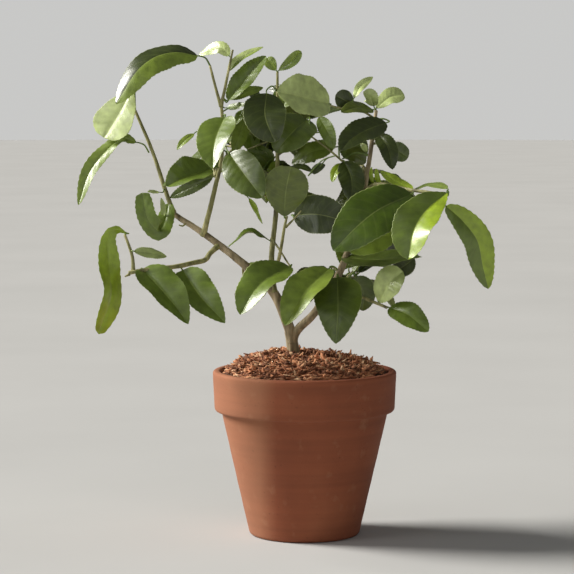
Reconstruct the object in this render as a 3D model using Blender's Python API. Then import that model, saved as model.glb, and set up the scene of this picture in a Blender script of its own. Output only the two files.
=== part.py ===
"""Potted lime tree: a young lime on one short leaning trunk, in a terracotta pot.

Units are metres and +Z is up. The origin is the centre of the pot's flat underside, and the plant's
face is towards -Y. Places on the plant are written in millimetres, as (x, y, z) from that origin.
"""

import math
from collections import namedtuple

import bmesh
import bpy
from mathutils import Vector, noise
from mathutils.bvhtree import BVHTree

MM = 0.001
GAP = 0.0004                     # clearance that neighbouring solids keep
SHARP_ANGLE = 40                 # degrees between faces from which an edge stays sharp

# Pot: the standard six-inch clay pot
POT_HEIGHT = 0.1398
RIM_RADIUS = 0.078
BAND_HEIGHT = 0.034              # the thick band under the rim
BAND_FOOT_RADIUS = 0.0765
BODY_TOP_RADIUS = 0.0708         # the wall just under the band
BASE_RADIUS = 0.0467
WALL = 0.007
FLOOR = 0.009
RIM_ROUNDING = 0.003
FOOT_ROUNDING = 0.0035
ROUNDING_STEPS = 3
POT_SIDES = 40
DRAIN_HOLES = 3
DRAIN_HOLE_RADIUS = 0.005
DRAIN_HOLE_SIDES = 12
DRAIN_HOLE_OFFSET = 0.022
DRAIN_HOLE_TURN = 34.5           # degrees from +X to the first hole

# Potting mix: fills the pot and mounds up round the trunk
GROUND_LEVEL = 0.1488            # the flat pad that the trunk stands on
WALL_LEVEL = 0.1365              # where the mix meets the pot
PAD_RADIUS = 0.016
MIX_RINGS = 6
MOUND_ROUNDNESS = 3              # 2 is a dome, and more is flatter on top
MIX_UNEVENNESS = 0.0012
MIX_BUMP_SIZE = 0.018

# Trunk: from its flat cut at ground level to the fork
TRUNK_FOOT = (-9, 0)             # millimetres
TRUNK_ROUTE = [(-9, 0, 149.2), (-9.5, 0, 154), (-10.5, 0, 162), (-12, 0, 170), (-14, 0, 178)]
TRUNK_RADIUS = 5.0               # millimetres, above the flare
TRUNK_TIP_RADIUS = 4.3
FLARE_RADIUS = 4.0               # extra radius at the ground
FLARE_HEIGHT = 4.0               # the height in which the flare dies away to a third
TRUNK_SIDES = 14
TRUNK_STEPS = 3                  # rings from one point of its route to the next

LIMB_SIDES = 8
LIMB_STEPS = 2                   # rings from one point of a route to the next
FOLIAGE_RINGS = 7
FOLIAGE_SIDES = 8
FOLIAGE_UNEVENNESS = 0.22        # of the section's own size
FOLIAGE_BUMP_SIZE = 9            # millimetres, across a mass
FOLIAGE_BUMPS_ALONG = 3          # bumps in the length of a mass
FOLIAGE_SEED_STEP = 10           # millimetres that shift one mass's bumps from another's
FOLIAGE_LEAN = 0.85              # under 1 puts a mass's widest place before its middle
FOLIAGE_BLUNTNESS = 0.6          # smaller is blunter

# A limb grows out of the limb it is on, along its route, tapering from one radius to the other (mm).
Limb = namedtuple("Limb", "name grows_on radius tip_radius route")

LIMBS = [
    Limb("bough_left", "trunk", 3.8, 2.0,
         [(-14, 0, 177), (-27, 5, 206), (-52, 10, 229), (-86, 22, 254), (-110, 33, 269), (-115, 34, 277)]),
    Limb("left_leader", "bough_left", 2.0, 1.3,
         [(-112, 34, 271), (-119, 36, 290), (-130, 40, 323), (-145, 45, 358)]),
    Limb("left_riser", "bough_left", 2.4, 1.3,
         [(-86, 22, 253), (-83, 16, 276), (-75, 8, 303), (-69, -4, 350), (-70, -6, 364)]),
    Limb("left_fork_rear", "left_riser", 1.3, 1.0, [(-70, -6, 362), (-74, -8, 376), (-79, -10, 396)]),
    Limb("left_fork_front", "left_riser", 1.4, 1.0, [(-70, -6, 362), (-66, -10, 380), (-61, -13, 402)]),
    Limb("low_left_bough", "bough_left", 2.3, 1.7,
         [(-73, 17, 244), (-87, 0, 234), (-119, -22, 229), (-146, -38, 224)]),
    Limb("low_left_shoot", "low_left_bough", 1.5, 1.1,
         [(-142, -36, 225), (-143, -36, 239), (-149, -36, 255)]),
    Limb("centre_stem", "bough_left", 2.6, 1.1,
         [(-26, 4, 205), (-28, 8, 234), (-24, 18, 276), (-23, 25, 325), (-23, 21, 390)]),
    Limb("centre_front_stem", "centre_stem", 1.8, 1.1,
         [(-27, 6, 212), (-21, -10, 238), (-17, -24, 262), (-15, -22, 271)]),
    Limb("bough_right", "trunk", 3.7, 1.5,
         [(-9, 0, 167), (10, -8, 191), (29, -12, 223), (40, -4, 254), (52, 14, 300), (61, 32, 358)]),
    Limb("right_low_shoot", "bough_right", 1.6, 1.2, [(27, -12, 219), (39, -22, 208), (68, -36, 196)]),
    Limb("right_long_shoot", "bough_right", 1.8, 1.3,
         [(48, 8, 286), (60, -10, 297), (87, -48, 294), (115, -68, 290)]),
    Limb("back_left_bough", "centre_stem", 1.9, 1.1, [(-23, 22, 300), (-44, 46, 310), (-60, 68, 326)]),
    Limb("back_right_bough", "bough_right", 1.9, 1.1, [(43, 0, 266), (52, 38, 284), (52, 72, 308)]),
    Limb("back_low_bough", "bough_right", 1.9, 1.1, [(14, -10, 198), (30, 24, 206), (38, 54, 214)]),
]

# A mass of leaves runs from its foot to its tip (mm). Its middle is carried off the straight line by
# the bow, (along X, along Z); it is as wide as said across its face, and as deep along it.
Foliage = namedtuple("Foliage", "name foot tip bow width depth face")

FRONT = (0.0, -1.0, 0.3)
FRONT_UP = (0.0, -0.7, 0.7)
UP = (0.0, -0.2, 1.0)
LEFT_UP = (-0.4, -0.6, 0.7)

FOLIAGE = [
    # left side, on the leader and the lower bough
    Foliage("foliage_left_upper", (-149, 43, 356), (-183, 29, 349), (0, 3), 36, 10, FRONT),
    Foliage("foliage_far_left", (-138, 39, 329), (-193, 18, 279), (-4, 20), 18, 10, LEFT_UP),
    Foliage("foliage_left_hanging", (-121, 27, 284), (-121, 4, 247), (-11, 2), 26, 10, FRONT),
    Foliage("foliage_left_stub", (-82, 13, 299), (-116, 40, 282), (0, 3), 18, 12, FRONT_UP),
    Foliage("foliage_ribbon", (-150, -39, 259), (-169, -58, 175), (0, 10), 20, 10, FRONT),
    Foliage("foliage_low_left", (-136, -36, 232), (-93, -67, 186), (0, 3), 28, 12, FRONT),
    Foliage("foliage_low_left_inner", (-112, -22, 226), (-67, -51, 184), (0, 3), 30, 12, FRONT),
    # top left, on the riser and its fork
    Foliage("foliage_arch", (-86, -12, 402), (-156, -48, 362), (-2, 21), 31, 12, LEFT_UP),
    Foliage("foliage_top_left_outer", (-65, -9, 404), (-91, 4, 407), (0, 3), 14, 8, UP),
    Foliage("foliage_top_left", (-62, -12, 388), (-33, -2, 414), (0, 4), 24, 14, FRONT_UP),
    Foliage("foliage_top_left_inner", (-62, 2, 368), (-31, 16, 397), (0, 3), 26, 24, FRONT),
    Foliage("foliage_riser_front", (-64, -13, 356), (-80, -47, 310), (0, 4), 36, 14, FRONT),
    Foliage("foliage_riser_left", (-80, 0, 318), (-118, -22, 299), (-4, 6), 26, 12, FRONT_UP),
    Foliage("foliage_riser_right", (-60, 4, 362), (-45, 8, 322), (2, 0), 28, 26, FRONT),
    Foliage("foliage_riser_low", (-62, -13, 320), (-34, -47, 288), (2, 3), 32, 13, FRONT),
    # low centre and right
    Foliage("foliage_twist", (-31, 6, 247), (-73, -26, 236), (-4, 18), 13, 8, FRONT),
    Foliage("foliage_front_left", (-19, -23, 234), (-59, -63, 195), (2, 4), 30, 12, FRONT),
    Foliage("foliage_front_middle", (17, -20, 231), (-19, -67, 187), (2, 4), 28, 12, FRONT),
    Foliage("foliage_front_right", (29, -22, 221), (25, -62, 166), (0, 4), 40, 12, FRONT),
    Foliage("foliage_low_right_upper", (63, -31, 202), (83, -44, 223), (-2, 3), 26, 12, FRONT),
    Foliage("foliage_low_right_tip", (71, -38, 199), (103, -61, 178), (0, 3), 20, 10, FRONT_UP),
    Foliage("foliage_right_level", (40, -10, 234), (96, -40, 235), (0, 2), 50, 18, UP),
    # right, on the long shoot
    Foliage("foliage_right_broad", (86, -54, 289), (24, -97, 251), (0, 4), 42, 12, FRONT),
    Foliage("foliage_right_folded", (115, -72, 287), (79, -105, 241), (-3, 6), 32, 12, FRONT),
    Foliage("foliage_far_right", (117, -69, 286), (150, -60, 212), (7, 9), 24, 10, FRONT),
    Foliage("foliage_right_pale", (62, 12, 302), (118, -20, 294), (0, 2), 15, 14, FRONT_UP),
    # middle of the plant
    Foliage("foliage_centre_low", (-4, -16, 270), (38, -32, 269), (0, 3), 38, 13, FRONT),
    Foliage("foliage_centre_upright", (-16, -26, 274), (-8, -38, 314), (0, 0), 36, 12, FRONT),
    Foliage("foliage_centre_right", (37, -4, 322), (38, -20, 283), (0, 0), 28, 16, FRONT),
    Foliage("foliage_centre_left", (-37, 6, 375), (-25, -22, 333), (0, 2), 36, 15, FRONT),
    Foliage("foliage_centre_front", (6, -8, 353), (-32, -36, 321), (0, 3), 36, 13, FRONT),
    Foliage("foliage_centre_top", (22, 4, 366), (-24, -25, 374), (0, 5), 38, 14, FRONT_UP),
    Foliage("foliage_top_tip", (-26, 20, 392), (-4, 12, 412), (-1, 1), 20, 16, FRONT),
    Foliage("foliage_right_inner", (34, 12, 354), (-2, 34, 320), (0, 4), 34, 24, FRONT),
    # top right, on the end of the right bough
    Foliage("foliage_right_top", (42, 24, 364), (59, 30, 388), (0, 0), 28, 16, FRONT),
    Foliage("foliage_right_top_outer", (63, 33, 360), (87, 40, 374), (0, 3), 20, 12, FRONT),
    Foliage("foliage_right_top_front", (64, 16, 352), (29, -21, 327), (0, 4), 28, 14, FRONT),
    Foliage("foliage_right_outer", (62, 26, 338), (87, 20, 308), (2, 2), 28, 24, FRONT),
    # behind the plant
    Foliage("foliage_back_left", (-60, 70, 328), (-92, 88, 302), (0, 6), 50, 26, UP),
    Foliage("foliage_back_middle", (-44, 50, 316), (0, 110, 334), (0, 8), 52, 28, UP),
    Foliage("foliage_back_right", (52, 76, 310), (62, 118, 266), (0, 8), 58, 30, UP),
    Foliage("foliage_back_low", (39, 57, 214), (48, 112, 196), (0, 4), 46, 26, UP),
]


# ------------------------------------------------------------------ materials and mesh helpers

def material(name, colour, roughness):
    """A plain finish: one colour and one roughness."""
    finish = bpy.data.materials.new(name)
    finish.use_nodes = True
    shader = finish.node_tree.nodes["Principled BSDF"]
    shader.inputs["Base Color"].default_value = (*colour, 1.0)
    shader.inputs["Roughness"].default_value = roughness
    finish.diffuse_color = (*colour, 1.0)
    return finish


def add_solid(name, bm, finish):
    """Turn a bmesh into a named object with its faces pointing out."""
    bmesh.ops.recalc_face_normals(bm, faces=bm.faces)
    mesh = bpy.data.meshes.new(name)
    bm.to_mesh(mesh)
    bm.free()
    mesh.materials.append(finish)
    mesh.shade_smooth()
    mesh.set_sharp_from_angle(angle=math.radians(SHARP_ANGLE))
    solid = bpy.data.objects.new(name, mesh)
    bpy.context.collection.objects.link(solid)
    return solid


def bridge(bm, lower, upper):
    """Join two rings of the same number of vertices with a band of faces."""
    count = len(lower)
    for i in range(count):
        j = (i + 1) % count
        bm.faces.new((lower[i], lower[j], upper[j], upper[i]))


def close_with_point(bm, ring, point):
    """Close an open ring with a fan of triangles to one vertex."""
    centre = bm.verts.new(point)
    for i, vertex in enumerate(ring):
        bm.faces.new((vertex, ring[(i + 1) % len(ring)], centre))


def turned(profile, sides):
    """A turned solid: rings for the profile's (radius, z) points, closed on the axis at both ends."""
    bm = bmesh.new()
    rings = []
    for radius, z in profile[1:-1]:
        angles = [2 * math.pi * i / sides for i in range(sides)]
        rings.append([bm.verts.new((radius * math.cos(a), radius * math.sin(a), z)) for a in angles])
    for lower, upper in zip(rings, rings[1:]):
        bridge(bm, lower, upper)
    close_with_point(bm, rings[0], (0, 0, profile[0][1]))
    close_with_point(bm, rings[-1], (0, 0, profile[-1][1]))
    return bm


def rounded(before, corner, after, radius):
    """Points of a curve that takes the place of a profile's corner."""
    corner = Vector(corner)
    start = corner + (Vector(before) - corner).normalized() * radius
    end = corner + (Vector(after) - corner).normalized() * radius
    points = []
    for i in range(ROUNDING_STEPS + 1):
        t = i / ROUNDING_STEPS
        points.append(tuple(start * (1 - t) ** 2 + corner * 2 * t * (1 - t) + end * t ** 2))
    return points


def smooth_route(points, steps):
    """Points along a smooth curve through the given ones, with the steps between each two."""
    points = [Vector(p) for p in points]
    padded = [2 * points[0] - points[1], *points, 2 * points[-1] - points[-2]]
    route = []
    for before, start, end, after in zip(padded, padded[1:], padded[2:], padded[3:]):
        for i in range(steps):
            t = i / steps
            route.append(0.5 * (2 * start + (end - before) * t
                                + (2 * before - 5 * start + 4 * end - after) * t ** 2
                                + (3 * start - before - 3 * end + after) * t ** 3))
    return [*route, points[-1]]


def directions(route):
    """The direction of a route at each of its points."""
    ahead = [*route[1:], route[-1]]
    behind = [route[0], *route[:-1]]
    return [(b - a).normalized() for a, b in zip(behind, ahead)]


def swept(route, radii, sides):
    """A round tapering tube along a route, with flat ends square to it."""
    bm = bmesh.new()
    rings = []
    side = Vector((0, 1, 0))
    for centre, forward, radius in zip(route, directions(route), radii):
        side = (side - forward * side.dot(forward)).normalized()
        other = forward.cross(side)
        angles = [2 * math.pi * i / sides for i in range(sides)]
        ring = [centre + (side * math.cos(a) + other * math.sin(a)) * radius for a in angles]
        rings.append([bm.verts.new(point) for point in ring])
    for lower, upper in zip(rings, rings[1:]):
        bridge(bm, lower, upper)
    bm.faces.new(rings[0])
    bm.faces.new(rings[-1])
    return bm


# ------------------------------------------------------------------ cutting neighbours clear

def swollen_copy(solid):
    """A cutter: the solid with its surface moved out by the gap."""
    mesh = solid.data.copy()
    normals = [vertex.normal.copy() for vertex in mesh.vertices]
    for vertex, normal in zip(mesh.vertices, normals):
        vertex.co += normal * GAP
    cutter = bpy.data.objects.new("cutter", mesh)
    cutter.hide_render = True
    cutter.display_type = "WIRE"
    bpy.context.collection.objects.link(cutter)
    return cutter


def surface_tree(solid):
    """The solid's faces, ready for an overlap test."""
    bm = bmesh.new()
    bm.from_mesh(solid.data)
    tree = BVHTree.FromBMesh(bm)
    bm.free()
    return tree


def cut(solid, cutter):
    """Take the cutter's space out of the solid, and keep the result as its mesh."""
    boolean = solid.modifiers.new("cut", "BOOLEAN")
    boolean.operation = "DIFFERENCE"
    boolean.solver = "EXACT"
    boolean.object = cutter
    bpy.context.view_layer.update()
    evaluated = solid.evaluated_get(bpy.context.evaluated_depsgraph_get())
    result = bpy.data.meshes.new_from_object(evaluated)
    solid.modifiers.remove(boolean)
    solid.data = result


def keep_largest_piece(solid):
    """Drop the slivers that a cut leaves on the far side of a neighbour."""
    bm = bmesh.new()
    bm.from_mesh(solid.data)
    bm.faces.ensure_lookup_table()
    unseen = set(bm.faces)
    pieces = []
    while unseen:
        piece = {unseen.pop()}
        edge_of_piece = list(piece)
        while edge_of_piece:
            face = edge_of_piece.pop()
            near = {other for edge in face.edges for other in edge.link_faces} & unseen
            unseen -= near
            piece |= near
            edge_of_piece.extend(near)
        pieces.append(piece)
    largest = max(pieces, key=lambda piece: sum(face.calc_area() for face in piece))
    spare = [face for piece in pieces if piece is not largest for face in piece]
    bmesh.ops.delete(bm, geom=spare, context="FACES")
    bmesh.ops.triangulate(bm, faces=bm.faces)
    bm.to_mesh(solid.data)
    bm.free()


def keep_clear(solid, neighbours):
    """Cut the solid back wherever it comes closer than the gap to a neighbour."""
    for neighbour in neighbours:
        cutter = swollen_copy(neighbour)
        if surface_tree(solid).overlap(surface_tree(cutter)):
            cut(solid, cutter)
            keep_largest_piece(solid)
        bpy.data.objects.remove(cutter)


# ------------------------------------------------------------------ pot and potting mix

def inner_radius(z):
    """The pot's inner radius at a height: the wall follows the body's slope up to the rim."""
    slope = (BODY_TOP_RADIUS - BASE_RADIUS) / (POT_HEIGHT - BAND_HEIGHT)
    return BASE_RADIUS + slope * z - WALL


def build_pot(finish):
    """The pot: a tapering wall with a thick band under its rim, and drain holes in its floor."""
    band_foot = POT_HEIGHT - BAND_HEIGHT
    inner_foot = (inner_radius(FLOOR), FLOOR)
    inner_rim = (inner_radius(POT_HEIGHT), POT_HEIGHT)
    outer_rim = (RIM_RADIUS, POT_HEIGHT)
    band_edge = (BAND_FOOT_RADIUS, band_foot)
    body_top = (BODY_TOP_RADIUS, band_foot)
    body_foot = (BASE_RADIUS, 0)
    profile = [(0, FLOOR), inner_foot]
    profile += rounded(inner_foot, inner_rim, outer_rim, RIM_ROUNDING)
    profile += rounded(inner_rim, outer_rim, band_edge, RIM_ROUNDING)
    profile += rounded(outer_rim, band_edge, body_top, RIM_ROUNDING)
    profile += [body_top]
    profile += rounded(body_top, body_foot, (0, 0), FOOT_ROUNDING)
    profile += [(0, 0)]
    pot = add_solid("pot", turned(profile, POT_SIDES), finish)
    for i in range(DRAIN_HOLES):
        angle = math.radians(DRAIN_HOLE_TURN) + 2 * math.pi * i / DRAIN_HOLES
        place = (DRAIN_HOLE_OFFSET * math.cos(angle), DRAIN_HOLE_OFFSET * math.sin(angle), FLOOR / 2)
        bpy.ops.mesh.primitive_cylinder_add(vertices=DRAIN_HOLE_SIDES, radius=DRAIN_HOLE_RADIUS,
                                            depth=3 * FLOOR, location=place)
        drill = bpy.context.object
        cut(pot, drill)
        bpy.data.objects.remove(drill)
    return pot


def mix_height(x, y, radius):
    """Height of the potting mix: a low uneven mound with a flat pad under the trunk."""
    if math.hypot(x - TRUNK_FOOT[0] * MM, y - TRUNK_FOOT[1] * MM) < PAD_RADIUS:
        return GROUND_LEVEL
    outward = math.hypot(x, y) / radius
    rise = (GROUND_LEVEL - WALL_LEVEL) * (1 - outward ** MOUND_ROUNDNESS)
    bumps = MIX_UNEVENNESS * noise.noise(Vector((x, y, 0)) / MIX_BUMP_SIZE) * (1 - outward)
    return min(GROUND_LEVEL, WALL_LEVEL + rise + bumps)


def build_potting_mix(finish):
    """The potting mix: fills the pot to just under its rim, and mounds up to the trunk."""
    foot_radius = inner_radius(FLOOR) - GAP
    top_radius = inner_radius(WALL_LEVEL) - GAP
    bm = bmesh.new()
    angles = [2 * math.pi * i / POT_SIDES for i in range(POT_SIDES)]
    foot = [bm.verts.new((foot_radius * math.cos(a), foot_radius * math.sin(a), FLOOR + GAP)) for a in angles]
    close_with_point(bm, foot, (0, 0, FLOOR + GAP))
    below = foot
    for ring_number in range(MIX_RINGS, 0, -1):
        radius = top_radius * ring_number / MIX_RINGS
        ring = []
        for a in angles:
            x, y = radius * math.cos(a), radius * math.sin(a)
            ring.append(bm.verts.new((x, y, mix_height(x, y, top_radius))))
        bridge(bm, below, ring)
        below = ring
    close_with_point(bm, below, (0, 0, GROUND_LEVEL))
    return add_solid("potting_mix", bm, finish)


# ------------------------------------------------------------------ trunk, limbs and foliage

def build_trunk(finish):
    """The trunk: flares at the ground, leans to the left and ends at the fork."""
    route = smooth_route(TRUNK_ROUTE, TRUNK_STEPS)
    foot, tip = route[0].z, route[-1].z
    radii = []
    for point in route:
        height = point.z - foot
        taper = TRUNK_RADIUS + (TRUNK_TIP_RADIUS - TRUNK_RADIUS) * height / (tip - foot)
        radii.append((taper + FLARE_RADIUS * math.exp(-height / FLARE_HEIGHT)) * MM)
    bm = swept([point * MM for point in route], radii, TRUNK_SIDES)
    for vertex in bm.verts[:TRUNK_SIDES]:
        vertex.co.z = foot * MM
    return add_solid("trunk", bm, finish)


def build_limb(limb, finish):
    """One tapering limb along its route."""
    route = [point * MM for point in smooth_route(limb.route, LIMB_STEPS)]
    last = len(route) - 1
    radii = [(limb.radius + (limb.tip_radius - limb.radius) * i / last) * MM for i in range(last + 1)]
    return add_solid(limb.name, swept(route, radii, LIMB_SIDES), finish)


def build_foliage(mass, finish):
    """One mass of leaves: an uneven pad that swells from its foot and closes at its tip."""
    foot, tip = Vector(mass.foot), Vector(mass.tip)
    lift = Vector((mass.bow[0], 0, mass.bow[1]))
    shares = [i / (FOLIAGE_RINGS + 1) for i in range(FOLIAGE_RINGS + 2)]
    spine = [foot.lerp(tip, t) + lift * 4 * t * (1 - t) for t in shares]
    seed = Vector(mass.tip) / FOLIAGE_SEED_STEP
    bm = bmesh.new()
    rings = []
    for t, centre, forward in list(zip(shares, spine, directions(spine)))[1:-1]:
        face = Vector(mass.face)
        face = (face - forward * face.dot(forward)).normalized()
        across = forward.cross(face)
        swell = math.sin(math.pi * t ** FOLIAGE_LEAN) ** FOLIAGE_BLUNTNESS
        ring = []
        for i in range(FOLIAGE_SIDES):
            angle = 2 * math.pi * i / FOLIAGE_SIDES
            outward = across * math.cos(angle) * mass.width / 2 + face * math.sin(angle) * mass.depth / 2
            uneven = 1 + FOLIAGE_UNEVENNESS * noise.noise(seed + outward / FOLIAGE_BUMP_SIZE
                                                            + Vector((FOLIAGE_BUMPS_ALONG * t, 0, 0)))
            ring.append(bm.verts.new((centre + outward * swell * uneven) * MM))
        rings.append(ring)
    for lower, upper in zip(rings, rings[1:]):
        bridge(bm, lower, upper)
    close_with_point(bm, rings[0], foot * MM)
    close_with_point(bm, rings[-1], tip * MM)
    return add_solid(mass.name, bm, finish)


def main():
    for old in list(bpy.data.objects):
        bpy.data.objects.remove(old)

    clay = material("terracotta", (0.48, 0.21, 0.11), 0.85)
    mulch = material("potting_mix", (0.22, 0.10, 0.05), 0.95)
    bark = material("bark", (0.30, 0.24, 0.15), 0.8)
    green = material("leaf", (0.07, 0.16, 0.04), 0.4)

    build_pot(clay)
    build_potting_mix(mulch)

    limbs = {"trunk": build_trunk(bark)}
    for limb in LIMBS:
        solid = build_limb(limb, bark)
        keep_clear(solid, sorted(limbs.values(), key=lambda other: other.name != limb.grows_on))
        limbs[limb.name] = solid

    masses = []
    for mass in FOLIAGE:
        solid = build_foliage(mass, green)
        keep_clear(solid, [*limbs.values(), *masses])
        masses.append(solid)


main()
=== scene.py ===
"""Looks of the potted lime tree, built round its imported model.

Metres, +Z up, the plant's face towards -Y. Places on the plant are written in millimetres, as
(x, y, z) from the centre of the pot's flat underside, and turned into metres when a mesh is built.
"""

import math
import random
from collections import namedtuple

import bpy
import numpy as np
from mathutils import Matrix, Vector, noise
from mathutils.bvhtree import BVHTree


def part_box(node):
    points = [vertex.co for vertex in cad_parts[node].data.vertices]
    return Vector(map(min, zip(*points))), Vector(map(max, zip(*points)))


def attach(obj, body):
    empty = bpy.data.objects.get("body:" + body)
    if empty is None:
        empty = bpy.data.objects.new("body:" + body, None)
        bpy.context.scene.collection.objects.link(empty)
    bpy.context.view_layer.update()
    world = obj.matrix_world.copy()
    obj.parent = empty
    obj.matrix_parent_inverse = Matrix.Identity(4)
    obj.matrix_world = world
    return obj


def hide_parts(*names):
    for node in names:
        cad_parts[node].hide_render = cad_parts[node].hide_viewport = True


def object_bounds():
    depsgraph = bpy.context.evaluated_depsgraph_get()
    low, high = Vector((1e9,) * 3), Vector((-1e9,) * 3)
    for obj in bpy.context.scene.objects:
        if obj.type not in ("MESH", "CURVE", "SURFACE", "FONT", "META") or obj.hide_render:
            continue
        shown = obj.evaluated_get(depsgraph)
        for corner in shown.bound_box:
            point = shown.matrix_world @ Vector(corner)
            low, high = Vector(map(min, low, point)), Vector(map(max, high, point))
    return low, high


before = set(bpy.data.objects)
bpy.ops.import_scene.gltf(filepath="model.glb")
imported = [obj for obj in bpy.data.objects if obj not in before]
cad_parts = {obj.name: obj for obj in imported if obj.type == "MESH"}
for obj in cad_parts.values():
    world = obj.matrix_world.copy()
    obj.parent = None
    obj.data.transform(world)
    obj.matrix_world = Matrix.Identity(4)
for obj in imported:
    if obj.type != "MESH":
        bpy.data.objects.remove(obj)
CAD_BOUNDS = [list(corner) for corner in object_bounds()]

MM = 0.001
CAMERA_PLACE = (-0.0149, -2.0, 0.3819)
GOLDEN_ANGLE = math.radians(137.5)
PLANT_LOW = np.array(CAD_BOUNDS[0]) / MM
PLANT_HIGH = np.array(CAD_BOUNDS[1]) / MM + [0, 6, 0]

# Leaves
LEAF_STEPS = 48                  # rows of faces from foot to tip
TOOTH_STEPS = 3                  # rows to one tooth of the margin
TOOTH_DEPTH = 0.60               # millimetres
MIDRIB_SHARE = 0.022             # half the midrib's width, of the half blade
HALF_BLADE = [MIDRIB_SHARE, 0.13, 0.29, 0.46, 0.64, 0.82, 0.975, 1.0]
LEAF_THICKNESS = 0.32            # millimetres, at the midrib
VEINS = 8                        # lateral veins on each side
VEIN_SLANT = 0.17                # how far a vein runs forward on its way to the margin
GROOVE_DEPTH = 0.3               # millimetres that the midrib lies below the blade
GROOVE_SHARE = 0.09              # the groove's width, of the half blade
EDGE_DROOP = 0.10                # how far the margins sink, of the half width
MOST_TIP_DROOP = 0.10            # how far a tip may sink, of the width
QUILTING = 0.13                  # millimetres that the blade swells between veins
BAKE_CELL_ASPECT = 1.6           # a leaf's cell of the bake map is this much longer than wide
BAKE_CELL_INSET = 0.08
RIM_SPREAD = 1.06                # the blade's edge is mapped just outside its upper skin
STALK_RADIUS = 0.65

# Stems
STALK_SIDES = 8
SHOOT_SIDES = 14
WOOD_SIDES = 40
WOOD_STEP = 0.9                  # millimetres from ring to ring on the bark mesh
SHOOT_STEP = 1.5                 # the same for shoots and twigs
STALK_STEP = 1.2                 # and for leaf stalks
BLADE_STEP = 0.5                 # and for a blade's middle line
TRUNK_FURROWS = 0.30             # depth of the bark's relief, in millimetres
BOUGH_FURROWS = 0.28
SHOOT_FURROWS = 0.12
TWIG_FURROWS = 0.06
FLARE = 4.0                      # extra radius of the trunk at the ground, and its reach upwards
COLLAR_LENGTH = 4.0              # the swelling where a limb leaves its parent
COLLAR_SWELL = 0.45

# Mulch
CHIPS = 2600
CHIP_STATIONS = 5
CHIP_LENGTHS = (4, 18, 7)        # least, most and commonest, in millimetres
CHIP_WIDTHS = (1.4, 6.5, 2.6)
FIBRES = 500
FIBRE_LENGTHS = (6, 15)          # least and most
FIBRE_WIDTHS = (0.35, 0.8)
MULCH_DEPTH = 4                  # how far the mulch lies below the rim, in millimetres
WALL_GAP = 0.6
BED_RINGS = 26
BED_SIDES = 96
BED_SHRINK = 0.985               # keeps the rays for its heights inside the potting mix
CREST = (-28, 12)                # the middle of the mulch's rise
CREST_HEIGHT = 3.0
CREST_SPREAD = 900               # square millimetres

# Pot
PAINTED_HIGHLIGHT_RISE = 18.0               # how fast the painted highlight pales the clay towards its lit left side, for each metre
PAINTED_HIGHLIGHT_START = 0.42
MOST_PAINTED_HIGHLIGHT = 0.25
POT_SIDES = 160
ARC_STEPS = 6


# ------------------------------------------------------------------ small geometry helpers

def unit(vectors):
    """Vectors scaled to length one, along the last axis."""
    return vectors / np.maximum(np.linalg.norm(vectors, axis=-1, keepdims=True), 1e-9)


def smooth_step(x):
    """Rises smoothly from 0 to 1 as x does."""
    x = np.clip(x, 0, 1)
    return x * x * (3 - 2 * x)


def smooth_route(points, spacing):
    """A smooth curve through the points, with about the given distance between its own."""
    points = [np.array(p, float) for p in points]
    padded = [2 * points[0] - points[1], *points, 2 * points[-1] - points[-2]]
    route = []
    for before, start, end, after in zip(padded, padded[1:], padded[2:], padded[3:]):
        steps = max(2, round(np.linalg.norm(end - start) / spacing))
        for i in range(steps):
            t = i / steps
            route.append(0.5 * (2 * start + (end - before) * t
                                + (2 * before - 5 * start + 4 * end - after) * t ** 2
                                + (3 * start - before - 3 * end + after) * t ** 3))
    return np.array([*route, points[-1]])


def lengths_along(route):
    """The distance from a route's start to each of its points."""
    steps = np.linalg.norm(np.diff(route, axis=0), axis=1)
    return np.concatenate([[0], np.cumsum(steps)])


class Heap:
    """Collects many small shapes into one mesh, with a finish for each face."""

    def __init__(self):
        self.places = []
        self.faces = []
        self.finishes = []
        self.leaves = 0
        self.count = 0

    def add(self, places, faces, finishes):
        """Add one shape: its vertices in millimetres, its faces, and each face's finish by name."""
        self.places.append(np.asarray(places, float))
        self.faces.extend([tuple(i + self.count for i in face) for face in faces])
        self.finishes.extend(finishes)
        self.count += len(places)

    def build(self, name, materials):
        """Make the object, with only the materials that its faces use."""
        mesh = bpy.data.meshes.new(name)
        mesh.from_pydata(np.concatenate(self.places) * MM, [], self.faces)
        used = sorted(set(self.finishes))
        for finish in used:
            mesh.materials.append(materials[finish])
        mesh.polygons.foreach_set("material_index", [used.index(finish) for finish in self.finishes])
        mesh.polygons.foreach_set("use_smooth", [True] * len(self.faces))
        if self.leaves:
            map_leaves(mesh, self.leaves)
        piece = bpy.data.objects.new(name, mesh)
        bpy.context.scene.collection.objects.link(piece)
        mesh.update()
        return piece


def finish_piece(heap, name, materials, replaces):
    """Build a heap's piece, attach it to the root body, and hide the parts that it takes the place of."""
    piece = heap.build(name, materials)
    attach(piece, "root")
    if replaces:
        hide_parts(*replaces)
    return piece


def grid_faces(rows, columns, offset=0, flip=False):
    """Quads of a grid of rows x columns vertices."""
    faces = []
    for row in range(rows - 1):
        for column in range(columns - 1):
            a = offset + row * columns + column
            quad = (a, a + 1, a + columns + 1, a + columns)
            faces.append(quad[::-1] if flip else quad)
    return faces


def ring_faces(rings, sides, order=(0, 1, 2, 3), offset=0):
    """Quads between closed rings of vertices; the order of their corners says which way they face."""
    faces = []
    for ring in range(rings - 1):
        for i in range(sides):
            j = (i + 1) % sides
            a = offset + ring * sides
            b = a + sides
            corners = (a + i, a + j, b + j, b + i)
            faces.append(tuple(corners[k] for k in order))
    return faces


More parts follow.
